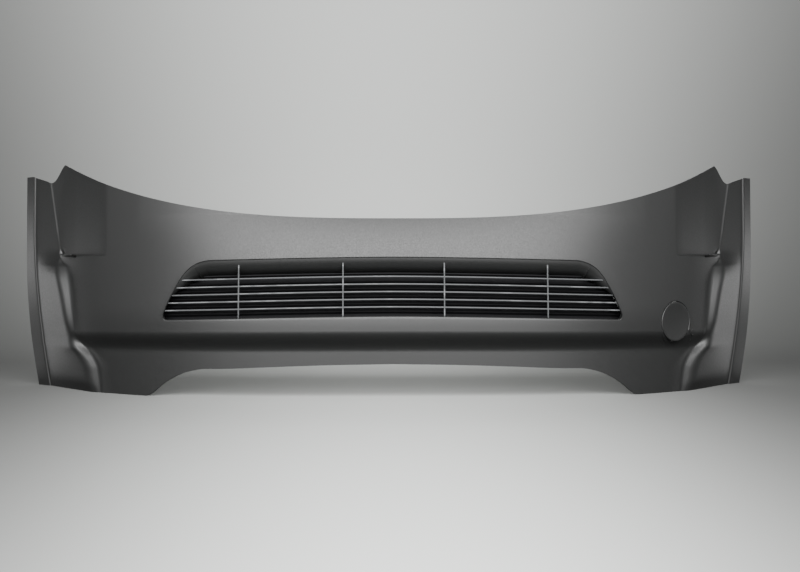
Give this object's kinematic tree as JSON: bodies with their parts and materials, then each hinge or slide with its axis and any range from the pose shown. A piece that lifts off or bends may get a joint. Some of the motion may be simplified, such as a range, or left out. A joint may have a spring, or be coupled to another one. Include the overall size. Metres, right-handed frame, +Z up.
{
  "type": "bumper cover",
  "caption": "Front bumper cover of a small car: grained plastic skin with an arched lower edge, wheel-arch flares, slatted air grille and a round pull-off tow-eye cover.",
  "frame": {"origin": "middle of the bounding box's base: on the plane of symmetry, on the floor that the cover stands on, halfway along its depth", "axes": "+X across the car towards the viewer's right in the front view, +Y from the front towards the rear, +Z up"},
  "size_m": [1.624, 0.3739, 0.481],
  "materials": {
    "grained_plastic": "fine moulded grain, unpainted",
    "slat_plastic": "smooth satin moulding",
    "black_plastic": "smooth matt black",
    "cap_plastic": "fine moulded grain",
    "bracket_plastic": "plain satin moulding",
    "clip_plastic": "satin nylon",
    "clip_pin_plastic": "satin nylon",
    "zinc_steel": "bright zinc plate",
    "spring_steel": "dark phosphated spring steel"
  },
  "bodies": {
    "cover": {"arch_liner_screws_left": "zinc_steel", "arch_liner_screws_right": "zinc_steel", "arch_spring_nuts_left": "spring_steel", "arch_spring_nuts_right": "spring_steel", "bumper_cover": "grained_plastic", "corner_bracket_left": "bracket_plastic", "corner_bracket_right": "bracket_plastic", "grille_insert": "slat_plastic", "grille_louvre_panel": "black_plastic", "grille_screws": "zinc_steel", "lower_stiffener": "bracket_plastic", "rail_clip_pins": "clip_pin_plastic", "rail_push_clips": "clip_plastic", "stiffener_clip_pins": "clip_pin_plastic", "stiffener_push_clips": "clip_plastic", "upper_retainer_rail": "bracket_plastic"},
    "tow_cap": {"tow_eye_cover": "cap_plastic"}
  },
  "joints": [
    {"name": "tow_cap_pull", "type": "slide", "parent": "cover", "child": "tow_cap", "axis": [0.5556, -0.8314, 0], "range_m": [0, 0.06]}
  ]
}
